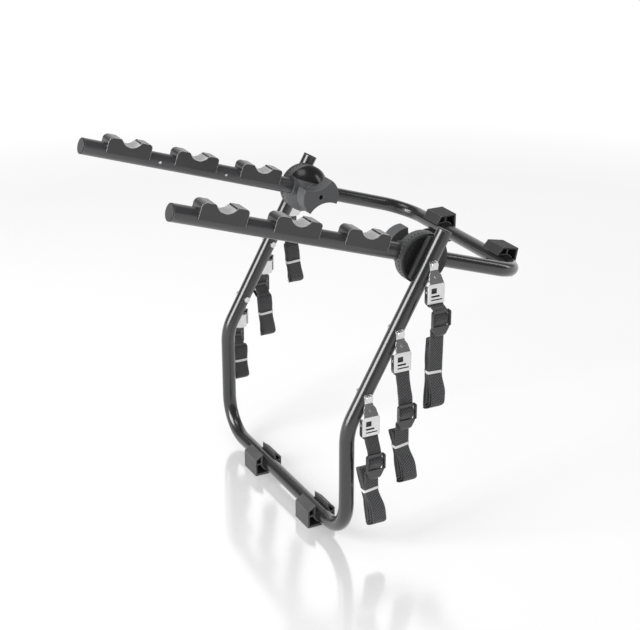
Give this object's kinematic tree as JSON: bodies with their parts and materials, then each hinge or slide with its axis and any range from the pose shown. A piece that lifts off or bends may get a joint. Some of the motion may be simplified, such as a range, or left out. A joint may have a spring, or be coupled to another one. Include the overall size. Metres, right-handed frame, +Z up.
{
  "type": "trunk mounted bike rack",
  "caption": "Folding steel bike carrier that straps to a car's tailgate, with rubber cradles on two arms, winged hub knobs and hooked cam-buckle straps.",
  "frame": {"origin": "midpoint between the two hubs, on the fold axis", "axes": "+X towards the front of the car, away from the bike ends of the arms; +Y along the fold axis to the far side; +Z up"},
  "size_m": [0.6706, 0.5602, 0.6407],
  "materials": {
    "black_paint": "satin black paint",
    "cap_plastic": "smooth black",
    "hub_plastic": "fine grained dark grey",
    "zinc": "bright zinc plate",
    "liner_plastic": "smooth grey",
    "cradle_rubber": "satin black",
    "pad_rubber": "matt black",
    "webbing": "woven black",
    "hook_paint": "satin dark grey",
    "tie_plastic": "white"
  },
  "bodies": {
    "lower_frame": {"lower_frame_tube": "black_paint", "leg_end_caps": "cap_plastic", "hub_dish_near": "hub_plastic", "hub_dish_far": "hub_plastic", "hub_bolts": "zinc", "strap_bolts": "zinc", "bolt_nuts": "zinc"},
    "upper_frame": {"upper_frame_tube": "black_paint", "arm_tube_near": "black_paint", "arm_tube_far": "black_paint", "arm_end_caps": "cap_plastic", "cradle_liners": "liner_plastic", "cradle_rivets": "zinc", "hub_housing_near": "hub_plastic", "hub_housing_far": "hub_plastic", "cradle_near_1": "cradle_rubber", "cradle_near_2": "cradle_rubber", "cradle_near_3": "cradle_rubber", "cradle_far_1": "cradle_rubber", "cradle_far_2": "cradle_rubber", "cradle_far_3": "cradle_rubber"},
    "knob_near": {"knob_near": "hub_plastic", "knob_nut_near": "zinc"},
    "knob_far": {"knob_far": "hub_plastic", "knob_nut_far": "zinc"},
    "upper_pad_near": {"upper_pad_near": "pad_rubber"},
    "upper_pad_far": {"upper_pad_far": "pad_rubber"},
    "lower_pad_near": {"lower_pad_near": "pad_rubber"},
    "lower_pad_far": {"lower_pad_far": "pad_rubber"},
    "strap_near_1": {"strap_buckle_near_1": "zinc", "strap_webbing_near_1": "webbing", "strap_hook_near_1": "hook_paint", "strap_tie_near_1": "tie_plastic"},
    "lever_near_1": {"strap_lever_near_1": "zinc"},
    "strap_near_2": {"strap_buckle_near_2": "zinc", "strap_webbing_near_2": "webbing", "strap_hook_near_2": "hook_paint", "strap_tie_near_2": "tie_plastic"},
    "lever_near_2": {"strap_lever_near_2": "zinc"},
    "strap_near_3": {"strap_buckle_near_3": "zinc", "strap_webbing_near_3": "webbing", "strap_hook_near_3": "hook_paint", "strap_tie_near_3": "tie_plastic"},
    "lever_near_3": {"strap_lever_near_3": "zinc"},
    "strap_far_1": {"strap_buckle_far_1": "zinc", "strap_webbing_far_1": "webbing", "strap_hook_far_1": "hook_paint", "strap_tie_far_1": "tie_plastic"},
    "lever_far_1": {"strap_lever_far_1": "zinc"},
    "strap_far_2": {"strap_buckle_far_2": "zinc", "strap_webbing_far_2": "webbing", "strap_hook_far_2": "hook_paint", "strap_tie_far_2": "tie_plastic"},
    "lever_far_2": {"strap_lever_far_2": "zinc"},
    "strap_far_3": {"strap_buckle_far_3": "zinc", "strap_webbing_far_3": "webbing", "strap_hook_far_3": "hook_paint", "strap_tie_far_3": "tie_plastic"},
    "lever_far_3": {"strap_lever_far_3": "zinc"}
  },
  "joints": [
    {"name": "fold", "type": "hinge", "parent": "lower_frame", "child": "upper_frame", "pos_m": [0, 0, 0], "axis": [0, -1, 0], "range_deg": [-50, 79]},
    {"name": "knob_turn_near", "type": "hinge", "parent": "lower_frame", "child": "knob_near", "pos_m": [0, -0.155, 0], "axis": [0, 1, 0], "continuous": true},
    {"name": "knob_turn_far", "type": "hinge", "parent": "lower_frame", "child": "knob_far", "pos_m": [0, 0.155, 0], "axis": [0, -1, 0], "continuous": true},
    {"name": "upper_pad_swivel_near", "type": "hinge", "parent": "upper_frame", "child": "upper_pad_near", "pos_m": [0.21304, -0.116, -0.06922], "axis": [0, 1, 0], "continuous": true},
    {"name": "upper_pad_swivel_far", "type": "hinge", "parent": "upper_frame", "child": "upper_pad_far", "pos_m": [0.21304, 0.079, -0.06922], "axis": [0, 1, 0], "continuous": true},
    {"name": "lower_pad_swivel_near", "type": "hinge", "parent": "lower_frame", "child": "lower_pad_near", "pos_m": [-0.14787, -0.124, -0.46676], "axis": [0, 1, 0], "continuous": true},
    {"name": "lower_pad_swivel_far", "type": "hinge", "parent": "lower_frame", "child": "lower_pad_far", "pos_m": [-0.14787, 0.087, -0.46676], "axis": [0, 1, 0], "continuous": true},
    {"name": "strap_swing_near_1", "type": "hinge", "parent": "lower_frame", "child": "strap_near_1", "pos_m": [-0.11635, -0.2502, -0.20991], "axis": [0, -1, 0], "range_deg": [-30, 3]},
    {"name": "lever_open_near_1", "type": "hinge", "parent": "strap_near_1", "child": "lever_near_1", "pos_m": [-0.11635, -0.2537, -0.25391], "axis": [1, 0, 0], "range_deg": [0, 50], "stiffness_Nm_per_rad": 0.1},
    {"name": "strap_swing_near_2", "type": "hinge", "parent": "lower_frame", "child": "strap_near_2", "pos_m": [-0.05963, -0.2502, -0.10758], "axis": [0, -1, 0], "range_deg": [-2.5, 4]},
    {"name": "lever_open_near_2", "type": "hinge", "parent": "strap_near_2", "child": "lever_near_2", "pos_m": [-0.05963, -0.2537, -0.15158], "axis": [1, 0, 0], "range_deg": [0, 50], "stiffness_Nm_per_rad": 0.1},
    {"name": "strap_swing_near_3", "type": "hinge", "parent": "lower_frame", "child": "strap_near_3", "pos_m": [0, -0.2502, 0], "axis": [0, -1, 0], "range_deg": [-3.5, 90]},
    {"name": "lever_open_near_3", "type": "hinge", "parent": "strap_near_3", "child": "lever_near_3", "pos_m": [0, -0.2537, -0.044], "axis": [1, 0, 0], "range_deg": [0, 50], "stiffness_Nm_per_rad": 0.1},
    {"name": "strap_swing_far_1", "type": "hinge", "parent": "lower_frame", "child": "strap_far_1", "pos_m": [-0.11442, 0.2502, -0.20641], "axis": [0, -1, 0], "range_deg": [-30, 3]},
    {"name": "lever_open_far_1", "type": "hinge", "parent": "strap_far_1", "child": "lever_far_1", "pos_m": [-0.11442, 0.2537, -0.25041], "axis": [-1, 0, 0], "range_deg": [0, 50], "stiffness_Nm_per_rad": 0.1},
    {"name": "strap_swing_far_2", "type": "hinge", "parent": "lower_frame", "child": "strap_far_2", "pos_m": [-0.05915, 0.2502, -0.1067], "axis": [0, -1, 0], "range_deg": [-2.5, 4]},
    {"name": "lever_open_far_2", "type": "hinge", "parent": "strap_far_2", "child": "lever_far_2", "pos_m": [-0.05915, 0.2537, -0.1507], "axis": [-1, 0, 0], "range_deg": [0, 50], "stiffness_Nm_per_rad": 0.1},
    {"name": "strap_swing_far_3", "type": "hinge", "parent": "lower_frame", "child": "strap_far_3", "pos_m": [0, 0.2502, 0], "axis": [0, -1, 0], "range_deg": [-3.5, 90]},
    {"name": "lever_open_far_3", "type": "hinge", "parent": "strap_far_3", "child": "lever_far_3", "pos_m": [0, 0.2537, -0.044], "axis": [-1, 0, 0], "range_deg": [0, 50], "stiffness_Nm_per_rad": 0.1}
  ]
}
